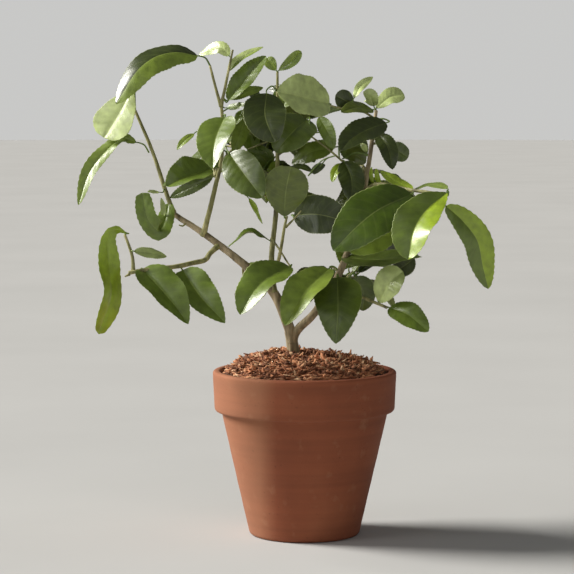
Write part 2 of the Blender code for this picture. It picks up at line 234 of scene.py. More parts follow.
def tube(heap, route, radii, sides, finish, relief=None):
    """A round tube along a route, closed at both ends. Relief is a height for (point, length)."""
    route = np.asarray(route, float)
    forward = unit(np.gradient(route, axis=0))
    side = np.array([0.0, 1.0, 0.0])
    angles = np.arange(sides) * 2 * math.pi / sides
    distance = lengths_along(route)
    places = []
    for centre, ahead, radius, length in zip(route, forward, radii, distance):
        side = unit(side - ahead * side.dot(ahead))
        other = np.cross(ahead, side)
        for angle in angles:
            outward = side * math.cos(angle) + other * math.sin(angle)
            height = relief(outward * radius, length) if relief else 0.0
            places.append(centre + outward * (radius + height))
    rings = len(route)
    faces = ring_faces(rings, sides)
    faces.append(tuple(range(sides))[::-1])
    faces.append(tuple((rings - 1) * sides + i for i in range(sides)))
    heap.add(places, faces, [finish] * len(faces))


# ------------------------------------------------------------------ materials

def new_material(name, roughness, **sockets):
    """A material with constants set straight on its shader; returns it with its nodes at hand."""
    material = bpy.data.materials.new(name)
    material.use_nodes = True
    shader = material.node_tree.nodes["Principled BSDF"]
    shader.inputs["Roughness"].default_value = roughness
    for socket, value in sockets.items():
        shader.inputs[socket.replace("_", " ")].default_value = value
    return material, material.node_tree, shader


def noise_node(tree, scale, detail, stretch=(1, 1, 1)):
    """Noise over the object's own coordinates, stretched along the axes."""
    where = tree.nodes.new("ShaderNodeTexCoord")
    mapping = tree.nodes.new("ShaderNodeMapping")
    mapping.inputs["Scale"].default_value = stretch
    texture = tree.nodes.new("ShaderNodeTexNoise")
    texture.inputs["Scale"].default_value = scale
    texture.inputs["Detail"].default_value = detail
    tree.links.new(where.outputs["Object"], mapping.inputs["Vector"])
    tree.links.new(mapping.outputs["Vector"], texture.inputs["Vector"])
    return texture.outputs["Fac"]


def ramp(tree, factor, stops):
    """A colour ramp: stops are (position, (r, g, b))."""
    node = tree.nodes.new("ShaderNodeValToRGB")
    while len(node.color_ramp.elements) < len(stops):
        node.color_ramp.elements.new(1.0)
    for element, (position, colour) in zip(node.color_ramp.elements, stops):
        element.position = position
        element.color = (*colour, 1.0)
    tree.links.new(factor, node.inputs["Fac"])
    return node.outputs["Color"]


def blend(tree, factor, first, second, mode="MIX"):
    """Mix two colours; each is a socket or a plain colour, and the factor a socket or a number."""
    node = tree.nodes.new("ShaderNodeMix")
    node.data_type = "RGBA"
    node.blend_type = mode
    inputs = {"Factor": node.inputs[0], "A": node.inputs[6], "B": node.inputs[7]}
    for key, value in (("Factor", factor), ("A", first), ("B", second)):
        if isinstance(value, bpy.types.NodeSocket):
            tree.links.new(value, inputs[key])
        elif key == "Factor":
            inputs[key].default_value = value
        else:
            inputs[key].default_value = (*value, 1.0)
    return node.outputs[2]


def bump(tree, shader, height, strength, distance):
    """Relief for the shader from a height socket."""
    node = tree.nodes.new("ShaderNodeBump")
    node.inputs["Strength"].default_value = strength
    node.inputs["Distance"].default_value = distance
    tree.links.new(height, node.inputs["Height"])
    tree.links.new(node.outputs["Normal"], shader.inputs["Normal"])


def math_node(tree, operation, *values):
    """A maths node; each value is a socket or a number."""
    node = tree.nodes.new("ShaderNodeMath")
    node.operation = operation
    for place, value in zip(node.inputs, values):
        if isinstance(value, bpy.types.NodeSocket):
            tree.links.new(value, place)
        else:
            place.default_value = value
    return node.outputs["Value"]


def vein_lines(tree):
    """1 on the lateral veins and 0 between them, read from the blade map."""
    blade = tree.nodes.new("ShaderNodeUVMap")
    blade.uv_map = "Blade"
    parts = tree.nodes.new("ShaderNodeSeparateXYZ")
    tree.links.new(blade.outputs["UV"], parts.inputs["Vector"])
    off_vein = math_node(tree, "PINGPONG", parts.outputs["X"], 0.5)
    line = math_node(tree, "SUBTRACT", 1.0, math_node(tree, "MULTIPLY", off_vein, 9.0))
    return math_node(tree, "MAXIMUM", line, 0.0)


def leaf_material(name, colour, roughness, coat, vein_strength=0.14):
    """Leaf skin: one green with faint mottling, paler veins and a fine net of veinlets."""
    material, tree, shader = new_material(name, roughness, Coat_Weight=coat, Coat_Roughness=0.28)
    darker = tuple(c * 0.78 for c in colour)
    lighter = tuple(c * 1.22 for c in colour)
    skin = ramp(tree, noise_node(tree, 150, 3), [(0.3, darker), (0.5, colour), (0.72, lighter)])
    veined = mixed(colour, RIB_COLOUR, 0.4)
    lines = math_node(tree, "MULTIPLY", vein_lines(tree), vein_strength)
    tree.links.new(blend(tree, lines, skin, veined), shader.inputs["Base Color"])
    net = tree.nodes.new("ShaderNodeTexVoronoi")
    net.feature = "DISTANCE_TO_EDGE"
    net.inputs["Scale"].default_value = 750
    where = tree.nodes.new("ShaderNodeTexCoord")
    tree.links.new(where.outputs["Object"], net.inputs["Vector"])
    bump(tree, shader, net.outputs["Distance"], 0.40, 0.0004)
    return material


def bark_material(name, stops, roughness, scale, stretch):
    """Bark: streaks along the stem in a few close colours, with a fine relief."""
    material, tree, shader = new_material(name, roughness)
    streaks = noise_node(tree, scale, 6, stretch)
    tree.links.new(ramp(tree, streaks, stops), shader.inputs["Base Color"])
    bump(tree, shader, noise_node(tree, scale * 2, 5, stretch), 0.5, 0.0006)
    return material


def terracotta_material():
    """Fired clay: matt orange-brown with blotches, dust, a fine grain, and a painted highlight that pales its
    left side, where the key light falls.
    """
    material, tree, shader = new_material("terracotta", 0.86)
    blotches = ramp(tree, noise_node(tree, 14, 5),
                    [(0.30, (0.230, 0.062, 0.024)), (0.52, (0.282, 0.078, 0.031)),
                     (0.74, (0.322, 0.100, 0.042))])
    rings = ramp(tree, noise_node(tree, 26, 4, (0.12, 0.12, 5)),
                 [(0.32, (0.84, 0.84, 0.84)), (0.62, (1.0, 1.0, 1.0))])
    turned = blend(tree, 1.0, blotches, rings, "MULTIPLY")
    dust = ramp(tree, noise_node(tree, 90, 8), [(0.60, (0, 0, 0)), (0.82, (0.22, 0.22, 0.22))])
    dust_and_painted_highlight = blend(tree, dust, turned, (0.52, 0.30, 0.17))
    where = tree.nodes.new("ShaderNodeTexCoord")
    parts = tree.nodes.new("ShaderNodeSeparateXYZ")
    tree.links.new(where.outputs["Object"], parts.inputs["Vector"])
    # Painted highlight: the clay is mixed towards a pale orange on its left, the side that the key light
    # falls on.
    painted_highlight = math_node(tree, "MULTIPLY_ADD", parts.outputs["X"], -PAINTED_HIGHLIGHT_RISE, -PAINTED_HIGHLIGHT_START)
    painted_highlight = math_node(tree, "MINIMUM", math_node(tree, "MAXIMUM", painted_highlight, 0.0), MOST_PAINTED_HIGHLIGHT)
    dust_and_painted_highlight = blend(tree, painted_highlight, dust_and_painted_highlight, (0.52, 0.28, 0.15))
    specks = ramp(tree, noise_node(tree, 520, 2), [(0.24, (0.62, 0.62, 0.62)), (0.31, (1, 1, 1))])
    tree.links.new(blend(tree, 1.0, dust_and_painted_highlight, specks, "MULTIPLY"), shader.inputs["Base Color"])
    bump(tree, shader, noise_node(tree, 900, 4), 0.35, 0.0004)
    return material


def chip_material(name, colour):
    """A chip of bark: one plain colour with faint fibres."""
    material, tree, shader = new_material(name, 0.9)
    fibres = noise_node(tree, 420, 3)
    darker = tuple(c * 0.6 for c in colour)
    tree.links.new(ramp(tree, fibres, [(0.35, darker), (0.65, colour)]), shader.inputs["Base Color"])
    return material


# Each tone is the upper skin's colour and the under skin's.
# The tones hold painted light as well as the leaves' own greens. Each leaf's tone is set to how bright that
# leaf shows, so the tones are brightened to stand in for light shining through the thin leaves. "pale" is a
# painted glare. "lime" is yellow-green with painted light shining through backlit leaves. "deep" is partly
# painted shade on leaves in the shadow of others.
LEAF_TONES_WITH_PAINTED_LIGHT = {
    "deep": ((0.038, 0.056, 0.006), (0.100, 0.130, 0.026)),
    "dark": ((0.080, 0.118, 0.012), (0.135, 0.170, 0.034)),
    "mid": ((0.125, 0.185, 0.020), (0.175, 0.220, 0.045)),
    "moss": ((0.060, 0.105, 0.002), (0.120, 0.180, 0.020)),
    "fresh": ((0.205, 0.285, 0.035), (0.250, 0.310, 0.065)),
    "lime": ((0.270, 0.380, 0.016), (0.320, 0.400, 0.040)),
    "pale": ((0.440, 0.530, 0.190), (0.480, 0.540, 0.260)),
    "olive": ((0.100, 0.135, 0.008), (0.150, 0.180, 0.030)),
}
RIB_COLOUR = (0.42, 0.48, 0.16)
MARGIN_COLOUR = (0.40, 0.46, 0.16)

CHIP_TONES = {
    "chip_umber": (0.210, 0.078, 0.035),
    "chip_brown": (0.400, 0.155, 0.070),
    "chip_russet": (0.620, 0.265, 0.125),
    "chip_orange": (0.780, 0.400, 0.205),
    "chip_tan": (0.760, 0.470, 0.270),
}
CHIP_SHARES = [0.28, 0.28, 0.22, 0.14, 0.08]


def mixed(first, second, share):
    """A colour that is mostly the first, with a share of the second."""
    return tuple(a * (1 - share) + b * share for a, b in zip(first, second))


def make_materials():
    """Every finish by name."""
    made = {}
    for tone, (upper, under) in LEAF_TONES_WITH_PAINTED_LIGHT.items():
        made[f"leaf_{tone}"] = leaf_material(f"leaf_{tone}", upper, 0.38, 0.45)
        made[f"leaf_{tone}_under"] = leaf_material(f"leaf_{tone}_under", under, 0.6, 0.0, 0.4)
        made[f"rib_{tone}"] = leaf_material(f"rib_{tone}", mixed(upper, RIB_COLOUR, 0.30), 0.45, 0.1, 0.0)
        made[f"margin_{tone}"] = leaf_material(f"margin_{tone}", mixed(upper, MARGIN_COLOUR, 0.45), 0.5,
                                               0.0, 0.0)
    made["stalk"] = bark_material("leaf_stalk", [(0.30, (0.085, 0.140, 0.022)), (0.50, (0.140, 0.215, 0.032)),
                                                 (0.70, (0.200, 0.290, 0.050))], 0.5, 300, (1, 1, 0.3))
    made["bark"] = bark_material("bark", [(0.30, (0.150, 0.116, 0.062)), (0.48, (0.310, 0.248, 0.142)),
                                          (0.64, (0.500, 0.400, 0.250))], 0.82, 210, (1, 1, 0.14))
    made["shoot"] = bark_material("green_shoot", [(0.32, (0.130, 0.120, 0.050)),
                                                  (0.52, (0.300, 0.290, 0.110)),
                                                  (0.70, (0.460, 0.420, 0.200))], 0.6, 260, (1, 1, 0.2))
    made["terracotta"] = terracotta_material()
    made["soil"] = chip_material("soil", (0.090, 0.040, 0.021))
    for name, colour in CHIP_TONES.items():
        made[name] = chip_material(name, colour)
    return made


# ------------------------------------------------------------------ stems

# A stem runs along its route, tapering from one radius to the other (mm). It replaces the CAD limbs named.
Stem = namedtuple("Stem", "radius tip_radius route replaces")

WOOD = [
    Stem(5.0, 2.0, [(-9, 0, 148.8), (-9.5, 0, 154), (-10.5, 0, 162), (-12, 0, 170), (-14, 0, 178),
                    (-27, 5, 206), (-52, 10, 229), (-86, 22, 254), (-110, 33, 269), (-115, 34, 277)],
         ["trunk", "bough_left"]),
    Stem(3.7, 1.5, [(-11, 0, 163), (-6, -2, 174), (10, -8, 191), (29, -12, 223), (40, -4, 254), (52, 14, 300),
                    (61, 32, 358)], ["bough_right"]),
]

SHOOTS = [
    Stem(2.0, 1.3, [(-112, 34, 271), (-119, 36, 290), (-130, 40, 323), (-145, 45, 358)], ["left_leader"]),
    Stem(2.4, 1.3, [(-86, 22, 253), (-83, 13, 264), (-79, 7, 279), (-75, 8, 296), (-70, 4, 318),
                    (-69, -4, 350), (-70, -6, 364)],
         ["left_riser"]),
    Stem(1.3, 1.0, [(-70, -6, 362), (-74, -8, 376), (-79, -10, 396)], ["left_fork_rear"]),
    Stem(1.4, 0.9, [(-70, -6, 362), (-66, -10, 380), (-60, -13, 409)], ["left_fork_front"]),
    Stem(2.3, 1.7, [(-73, 17, 244), (-80, 5, 238), (-84, -1, 233), (-94, -8, 231), (-108, -22, 229),
                    (-134, -36, 227), (-146, -38, 225)],
         ["low_left_bough"]),
    Stem(1.5, 1.1, [(-142, -36, 225), (-143, -36, 239), (-149, -36, 257)], ["low_left_shoot"]),
    Stem(2.6, 1.1, [(-26, 4, 205), (-28, 8, 234), (-24, 18, 276), (-23, 25, 325), (-23, 21, 391)],
         ["centre_stem"]),
    Stem(1.8, 1.1, [(-27, 6, 212), (-21, -10, 238), (-17, -24, 262), (-15, -22, 271)], ["centre_front_stem"]),
    Stem(1.6, 1.2, [(27, -12, 219), (39, -22, 208), (68, -36, 196)], ["right_low_shoot"]),
    Stem(1.8, 1.3, [(48, 8, 286), (60, -10, 297), (87, -48, 294), (116, -68, 291)], ["right_long_shoot"]),
    Stem(1.9, 1.1, [(-23, 22, 300), (-44, 46, 310), (-60, 68, 326)], ["back_left_bough"]),
    Stem(1.9, 1.1, [(43, 0, 266), (52, 38, 284), (52, 72, 308)], ["back_right_bough"]),
    Stem(1.9, 1.1, [(14, -10, 198), (30, 24, 206), (38, 54, 214)], ["back_low_bough"]),
]

# Twigs too thin to be CAD limbs.
TWIGS = [
    Stem(0.9, 0.7, [(-28, 8, 251), (-20, -4, 240), (-12, -14, 228)], []),
    Stem(0.9, 0.6, [(-16, -22, 262), (-10, -24, 268), (-3, -26, 276)], []),
    Stem(0.9, 0.6, [(-24, 18, 277), (-30, 24, 284), (-36, 20, 287)], []),
    Stem(1.1, 0.7, [(53, 16, 299), (42, 8, 308), (34, 4, 314), (20, -4, 326), (4, -8, 338)], []),
    Stem(1.0, 0.7, [(61, 30, 350), (50, 24, 357), (36, 14, 359), (20, 4, 363)], []),
    Stem(0.9, 0.7, [(38, -8, 246), (50, 0, 246), (62, 0, 240), (70, -2, 233)], []),
    Stem(0.9, 0.6, [(58, 24, 330), (66, 28, 331), (73, 30, 328)], []),
    Stem(0.9, 0.6, [(-23, 24, 335), (-36, 32, 330), (-48, 38, 325)], []),
    Stem(0.8, 0.5, [(-100, 28, 263), (-104, 26, 260), (-107, 25, 261)], []),
    Stem(1.0, 0.5, [(-145, -38, 224), (-149, -39, 222)], []),
]


def bark_relief(depth):
    """Shallow furrows that run along the stem, as a height for a place on its skin."""
    def height(outward, length):
        furrow = noise.noise(Vector((outward[0] * 0.9, outward[1] * 0.9, outward[2] * 0.9 + length * 0.10)))
        grain = noise.noise(Vector((outward[0] * 2.6, outward[1] * 2.6, outward[2] * 2.6 + length * 0.5)))
        return depth * (furrow + 0.35 * grain)
    return height


def trunk_flare(length):
    """Extra radius where the trunk spreads into its roots at the ground."""
    return FLARE * math.exp(-length / FLARE)


def add_stem(heap, stem, sides, spacing, finish, depth, flare=None):
    """One tapering stem with a collar at its foot and slight knots along it."""
    route = smooth_route(stem.route, spacing)
    distance = lengths_along(route)
    radii = []
    for length in distance:
        taper = stem.radius + (stem.tip_radius - stem.radius) * length / distance[-1]
        collar = flare(length) if flare else COLLAR_SWELL * taper * math.exp(-length / COLLAR_LENGTH)
        knot = 0.05 * taper * noise.noise(Vector((stem.route[0][0], length / 9, 0)))
        radii.append(taper + collar + knot)
    tube(heap, route, radii, sides, finish, bark_relief(depth))


def build_stems(materials):
    """The woody limbs as one piece, and the green shoots and twigs as another."""
    wood = Heap()
    add_stem(wood, WOOD[0], WOOD_SIDES, WOOD_STEP, "bark", TRUNK_FURROWS, trunk_flare)
    add_stem(wood, WOOD[1], WOOD_SIDES, WOOD_STEP, "bark", BOUGH_FURROWS)
    shoots = Heap()
    for stem in SHOOTS:
        add_stem(shoots, stem, SHOOT_SIDES, SHOOT_STEP, "shoot", SHOOT_FURROWS)
    for stem in TWIGS:
        add_stem(shoots, stem, SHOOT_SIDES, SHOOT_STEP, "shoot", TWIG_FURROWS)
    for name, heap, stems in (("woody_limbs", wood, WOOD), ("green_shoots", shoots, SHOOTS)):
        finish_piece(heap, name, materials, [node for stem in stems for node in stem.replaces])


# ------------------------------------------------------------------ leaves

# A leaf's midrib follows its route from foot to tip (mm). Its upper skin looks along face; fold lifts the
# two halves, and twist turns the blade on its way to the tip. A pair of tones colours its left and right
# hands, seen from foot to tip; two different tones paint one half lit and the other in shade. Its stalk
# starts at its root, or else on the nearest stem.
Leaf = namedtuple("Leaf", "route width face fold twist tone shape root",
                  defaults=[10, 0, "mid", "oval", None])

# How fast a blade widens from its foot and closes at its tip: a smaller power is blunter.
LEAF_SHAPES = {"oval": (0.55, 0.66), "egg": (0.44, 0.80), "pointed": (0.58, 0.95), "blunt": (0.78, 0.46),
               "round": (0.50, 0.50), "cut": (0.30, 0.22),
               "spoon": (0.95, 0.42), "drop": (0.85, 0.60)}

# Each spray is one piece: the masses it takes the place of, and the leaves that show.
SPRAYS = {
    "leaves_left_leader": (
        ["foliage_left_upper", "foliage_far_left", "foliage_left_hanging", "foliage_left_stub"], [
        Leaf([(-147, 40, 377), (-157, 36, 358), (-171, 32, 335)], 38, (-0.5, -0.9, 0.15), 8, 0, "pale",
             "spoon"),
        Leaf([(-144, 40, 331), (-156, 36, 334), (-168, 32, 325), (-183, 26, 306), (-192, 16, 279)], 15,
             (-0.5, -0.7, 0.5), 18, -20, "fresh", "oval", (-133, 40, 322)),
        Leaf([(-116, 34, 279), (-119, 22, 264), (-124, 14, 257), (-133, 12, 268), (-138, 14, 289)], 17,
             (-0.25, -1, 0.1), 8, 0, "mid", "cut"),
        Leaf([(-124, 26, 289), (-133, 20, 290)], 6, (-0.2, -0.6, 0.8), 8, 0, "pale"),
        Leaf([(-121, 28, 266), (-120, 26, 274), (-122, 26, 284)], 5, (-0.4, -0.9, 0.2), 20, 20, "pale"),
        Leaf([(-78, 14, 302), (-97, 24, 293), (-115, 34, 284)], 11, (0.1, -0.95, 0.3), 10, 0, "dark"),
    ]),
    "leaves_low_left": (
        ["foliage_ribbon", "foliage_low_left", "foliage_low_left_inner"], [
        Leaf([(-147, -38, 258), (-156, -44, 261), (-162, -46, 252), (-161, -48, 230), (-159, -52, 207),
              (-168, -58, 176)], 25, (0.35, -1, 0.2), 10, -40, "lime",
             "spoon"),
        Leaf([(-141, -38, 243), (-128, -32, 241), (-115, -22, 238)], 10, (0, -0.8, 0.6), 10, 0, "pale"),
        Leaf([(-135, -34, 228), (-117, -50, 211), (-95, -66, 187)], 38, (0.4, -0.8, 0.4), 30, 0, "mid",
             "egg"),
        Leaf([(-102, -20, 226), (-86, -38, 205), (-66, -52, 186)], 32, (0.25, -0.9, 0.3), 22, 0, "mid",
             "egg"),
    ]),
    "leaves_top_left": (
        ["foliage_arch", "foliage_top_left_outer", "foliage_top_left", "foliage_top_left_inner"], [
        Leaf([(-89, -14, 404), (-106, -22, 407), (-121, -30, 404), (-132, -38, 397), (-141, -44, 387),
              (-155, -50, 365)], 28, (-0.25, -0.75, 0.58), -9, 0, ("fresh", "deep")),
        Leaf([(-63, -12, 404), (-70, -8, 411), (-79, -2, 409), (-89, 4, 406)], 12,
             (-0.3, -0.75, 0.6), 10, 0, "pale"),
        Leaf([(-64, -10, 391), (-56, -9, 400), (-46, -6, 406), (-35, -2, 412)], 11,
             (-0.45, -0.6, 0.65), 20, 0, ("pale", "fresh")),
        Leaf([(-64, -7, 367), (-49, 4, 386), (-33, 12, 405)], 20, (-0.35, -0.9, 0.25), 26, 0, "mid"),
        Leaf([(-63, -4, 368), (-49, 8, 374), (-35, 18, 378)], 9, (-0.1, -0.9, 0.4), 10, 0, "fresh"),
    ]),
    "leaves_riser": (
        ["foliage_riser_front", "foliage_riser_left", "foliage_riser_right", "foliage_riser_low",
         "foliage_twist"], [
        Leaf([(-67, -10, 353), (-74, -28, 335), (-77, -46, 313)], 35, (-0.4, -0.9, 0.2), 22, 0, "mid", "egg"),
        Leaf([(-79, 0, 310), (-97, -12, 304), (-115, -24, 298)], 34, (-0.15, -0.75, 0.6), 34, 0, "mid"),
        Leaf([(-93, 2, 339), (-100, -2, 334), (-107, -6, 326)], 7, (-0.4, -0.8, 0.4), 16, 0, "fresh"),
        Leaf([(-48, 14, 358), (-54, 10, 340), (-60, 4, 323)], 14, (0.3, -0.9, 0.2), 10, 0, "fresh"),
        Leaf([(-65, -3, 361), (-57, -8, 362), (-50, -14, 364)], 7, (-0.2, -0.8, 0.6), 14, 0, "mid"),
        Leaf([(-52, -4, 359), (-55, -8, 353), (-58, -12, 347)], 8, (-0.4, -0.8, 0.4), 14, 0, "mid"),
        Leaf([(-63, -12, 323), (-50, -30, 306), (-36, -46, 289)], 32, (-0.3, -0.8, 0.5), 14, 0, "dark"),
        Leaf([(-48, 38, 324), (-36, 44, 318), (-29, 50, 308)], 17, (-0.3, -0.9, 0.3), 8, 0, "mid"),
        Leaf([(-37, 42, 324), (-31, 46, 322), (-26, 48, 315)], 6, (-0.4, -0.7, 0.6), 12, 0, "pale"),
        Leaf([(-25, 44, 315), (-29, 44, 305), (-35, 42, 296)], 7, (-0.3, -0.9, 0.3), 12, 0, "lime"),
        Leaf([(-30, 10, 249), (-38, -2, 255), (-48, -10, 257), (-57, -18, 251), (-64, -24, 246)], 12,
             (-0.3, -0.75, 0.6), 12, 40, "mid"),
        Leaf([(-47, 16, 284), (-41, 12, 275), (-36, 8, 263)], 5, (-0.3, -1, 0.2), 20, 40, "lime"),
        Leaf([(-29, 28, 281), (-31, 30, 287), (-32, 32, 293)], 7, (-0.3, -0.9, 0.3), 12, 0, "lime"),
    ]),
    "leaves_front": (
        ["foliage_front_left", "foliage_front_middle", "foliage_front_right", "foliage_low_right_upper",
         "foliage_low_right_tip", "foliage_right_level"], [
        Leaf([(-13, -20, 229), (-35, -42, 218), (-54, -62, 195)], 36, (-0.4, -0.8, 0.4), 25, 0, "mid"),
        Leaf([(20, -18, 227), (1, -44, 211), (-17, -66, 186)], 35, (-0.4, -0.85, 0.35), 27, 0, "fresh"),
        Leaf([(27, -20, 220), (27, -50, 197), (25, -62, 169)], 40, (-0.05, -0.95, 0.4), 10, 0, "dark", "egg"),
        Leaf([(43, -14, 220), (49, -10, 207), (49, -6, 190)], 20, (0, -1, 0.3), 10, 0, "dark"),
        Leaf([(61, -32, 200), (69, -40, 216), (80, -44, 227)], 27, (-0.35, -0.85, 0.4), 18, 0, "pale",
             "blunt"),
        Leaf([(70, -36, 196), (84, -50, 192), (101, -60, 179)], 22, (-0.05, -0.85, 0.6), 14, 0, "mid"),
        Leaf([(92, -4, 235), (84, 0, 228), (74, 6, 222)], 17, (0, -1, 0.3), 8, 0, "deep"),
        Leaf([(32, -10, 236), (62, -32, 236), (95, -52, 241)], 33, (-0.05, -0.4, 1), 8, 0, "dark", "pointed"),
        Leaf([(67, 2, 261), (77, 8, 251), (84, 12, 241)], 26, (0, -1, 0.3), 8, 0, "deep"),
        Leaf([(77, -34, 275), (60, -44, 256), (37, -52, 244)], 26, (-0.1, -1, 0.3), 8, 0, "fresh"),
    ]),
    "leaves_right": (
        ["foliage_right_broad", "foliage_right_folded", "foliage_far_right", "foliage_right_pale"], [
        Leaf([(87, -52, 291), (55, -78, 277), (22, -96, 249)], 45, (-0.25, -1, 0.4), 10, 0, "moss"),
        Leaf([(115, -70, 293), (98, -82, 280), (87, -94, 264), (81, -104, 242)], 38,
             (-0.4, -0.9, 0.25), 24, 0, ("lime", "mid"), "drop"),
        Leaf([(114, -68, 282), (127, -68, 271), (140, -66, 254), (145, -62, 233), (150, -58, 213)], 24,
             (0.3, -1, 0.2), 12, 25, ("lime", "mid")),
        Leaf([(88, -44, 294), (77, -20, 299), (64, 6, 308)], 11, (0, -0.7, 0.7), 12, 0, "lime"),
        Leaf([(63, 0, 297), (61, -2, 303), (60, -4, 310)], 5, (-0.5, -0.8, 0.2), 16, 0, "lime"),
        Leaf([(58, 4, 297), (56, 2, 304), (56, 0, 311)], 4, (-0.5, -0.8, 0.2), 16, 0, "lime"),
        Leaf([(115, -66, 296), (105, -40, 298), (91, -14, 294)], 11, (0, -0.7, 0.8), 10, 0, "fresh"),
    ]),
    "leaves_centre": (
        ["foliage_centre_low", "foliage_centre_upright", "foliage_centre_right", "foliage_centre_left",
         "foliage_centre_front", "foliage_centre_top", "foliage_top_tip", "foliage_right_inner"], [
        Leaf([(-9, -20, 272), (11, -30, 273), (36, -34, 267)], 33, (0, -1, 0.25), 8, 0, "deep"),
        Leaf([(-17, -24, 271), (-16, -30, 291), (-12, -36, 312)], 36, (0, -1, 0.15), 6, 0, "olive", "blunt"),
        Leaf([(33, 2, 316), (39, -8, 302), (39, -20, 284)], 22, (0.1, -1, 0.2), 10, 0, "deep"),
        Leaf([(-32, 0, 373), (-33, -20, 354), (-25, -34, 334)], 36, (0, -1, 0.3), 8, 0, "deep"),
        Leaf([(2, 6, 351), (-9, -10, 342), (-24, -24, 326)], 37, (-0.1, -0.9, 0.4), 18, 0, "dark"),
        Leaf([(21, 2, 364), (0, -10, 369), (-22, -22, 375)], 43, (-0.3, -0.85, 0.5), 20, 0, "pale"),
        Leaf([(-17, 24, 376), (-23, 28, 377), (-30, 32, 376)], 8, (0, -0.8, 0.6), 8, 0, "deep"),
        Leaf([(-24, 20, 392), (-28, 22, 397), (-32, 24, 403)], 10, (-0.1, -1, 0.2), 14, 0, "fresh", "blunt"),
        Leaf([(-22, 18, 392), (-12, 14, 399), (-3, 8, 408)], 10, (0.2, -0.9, 0.3), 20, 0,
             ("fresh", "mid"), "blunt"),
        Leaf([(32, 14, 360), (17, 18, 358), (3, 24, 353)], 10, (0, -0.6, 0.8), 8, 0, "deep"),
        Leaf([(12, 6, 353), (19, -2, 341), (24, -8, 327)], 13, (-0.35, -0.85, 0.4), 14, 0, "mid"),
        Leaf([(25, 20, 327), (6, 28, 323), (-11, 36, 313)], 20, (0, -0.8, 0.6), 8, 0, "fresh"),
        Leaf([(6, 10, 306), (11, 8, 310), (17, 6, 313)], 7, (0, -1, 0.3), 8, 0, "deep"),
        Leaf([(6, 12, 307), (-2, 16, 311), (-14, 20, 310)], 7, (0, -0.6, 0.8), 8, 0, "deep"),
    ]),
    "leaves_right_top": (
        ["foliage_right_top", "foliage_right_top_outer", "foliage_right_top_front", "foliage_right_outer"], [
        Leaf([(42, 20, 369), (48, 26, 379), (58, 30, 387)], 8, (-0.5, -0.8, 0.3), 14, 20, "pale"),
        Leaf([(59, 32, 362), (56, 28, 370), (50, 24, 374)], 13, (-0.4, -0.8, 0.4), 16, 0, "pale"),
        Leaf([(41, 24, 363), (34, 20, 367), (26, 16, 371)], 17, (0, -1, 0.3), 8, 0, "deep", "round"),
        Leaf([(58, 32, 359), (45, 16, 361), (31, 2, 358)], 15, (-0.1, -0.8, 0.6), 10, 0, "olive"),
        Leaf([(61, 32, 360), (72, 36, 369), (85, 40, 373)], 18, (-0.45, -0.8, 0.4), 12, 0, "pale", "blunt"),
        Leaf([(69, 22, 348), (52, 8, 342), (39, -8, 335), (30, -22, 326)], 25, (-0.15, -0.9, 0.45), 14, 0,
             "deep"),
        Leaf([(62, 28, 339), (70, 14, 328), (74, 2, 310)], 16, (0.2, -1, 0.1), 10, 0, "deep"),
        Leaf([(74, 30, 327), (81, 36, 323), (89, 40, 318)], 16, (0, -1, 0.3), 8, 0, "dark", "round"),
        Leaf([(32, 4, 314), (26, -2, 308), (23, -8, 299)], 8, (-0.4, -0.9, 0.2), 14, 0, "lime"),
        Leaf([(36, 36, 318), (44, 40, 320), (53, 44, 313)], 15, (0, -1, 0.3), 8, 0, "olive"),
        Leaf([(53, 34, 323), (51, 36, 327), (48, 38, 330)], 5, (-0.4, -0.8, 0.4), 10, 0, "pale"),
    ]),
}


def vein_phase(along, across):
    """Counts the lateral veins: it passes a whole number on each of them."""
    return VEINS * (along - VEIN_SLANT * np.abs(across) * (0.7 + 0.3 * np.abs(across)))


def blade_width(shape, along):
    """The half width of a blade along its length, 1 at its widest, and nearly closed at its ends."""
    foot_power, tip_power = LEAF_SHAPES[shape]
    widest = foot_power / (foot_power + tip_power)
    outline = along ** foot_power * (1 - along) ** tip_power
    return outline / (widest ** foot_power * (1 - widest) ** tip_power)


def margin_teeth(along, width):
    """What the low rounded teeth add to the half width, in millimetres."""
    steps = np.arange(len(along)) % TOOTH_STEPS
    tooth = np.array([0.0, 1.0, 0.6])[steps]
    return tooth * TOOTH_DEPTH * np.minimum(1, width / 4)


def leaf_topology():
    """The faces of a blade, and each corner's (skin, along, across) place, which all leaves share."""
    rows = LEAF_STEPS + 1
    columns = 2 * len(HALF_BLADE)
    under = rows * columns
    along = [row / LEAF_STEPS for row in range(rows)]
    across = [-v for v in HALF_BLADE[::-1]] + HALF_BLADE
    faces = grid_faces(rows, columns) + grid_faces(rows, columns, under, flip=True)
    corners = []
    for face in faces:
        for index in face:
            skin, place = divmod(index, under)
            corners.append((skin, along[place // columns], across[place % columns]))
    rim = [(row, 0) for row in range(rows)] + [(rows - 1, column) for column in range(1, columns)]
    rim += [(row, columns - 1) for row in range(rows - 2, -1, -1)]
    rim += [(0, column) for column in range(columns - 2, 0, -1)]
    for (row_a, column_a), (row_b, column_b) in zip(rim, rim[1:] + rim[:1]):
        a = row_a * columns + column_a
        b = row_b * columns + column_b
        faces.append((a, b, b + under, a + under))
        inner = [(0, along[row_a], across[column_a]), (0, along[row_b], across[column_b])]
        corners += inner + [(0, 0.5 + (u - 0.5) * RIM_SPREAD, v * RIM_SPREAD) for _, u, v in inner[::-1]]
    return faces, np.array(corners)


LEAF_FACES, LEAF_CORNERS = leaf_topology()


def leaf_finishes(tone):
    """The finish of each of a blade's faces: skin, midrib or margin."""
    # Two different tones paint one half of the blade lit and the other in shade.
    left, right = (tone, tone) if isinstance(tone, str) else tone
    inner = len(HALF_BLADE) - 2
    row = []
    for skin in ("", "_under"):
        row += ([f"margin_{left}"] + [f"leaf_{left}{skin}"] * inner + [f"rib_{left}"]
                + [f"leaf_{right}{skin}"] * inner + [f"margin_{right}"]) * LEAF_STEPS
    return row + [f"margin_{left}"] * (len(LEAF_FACES) - len(row))


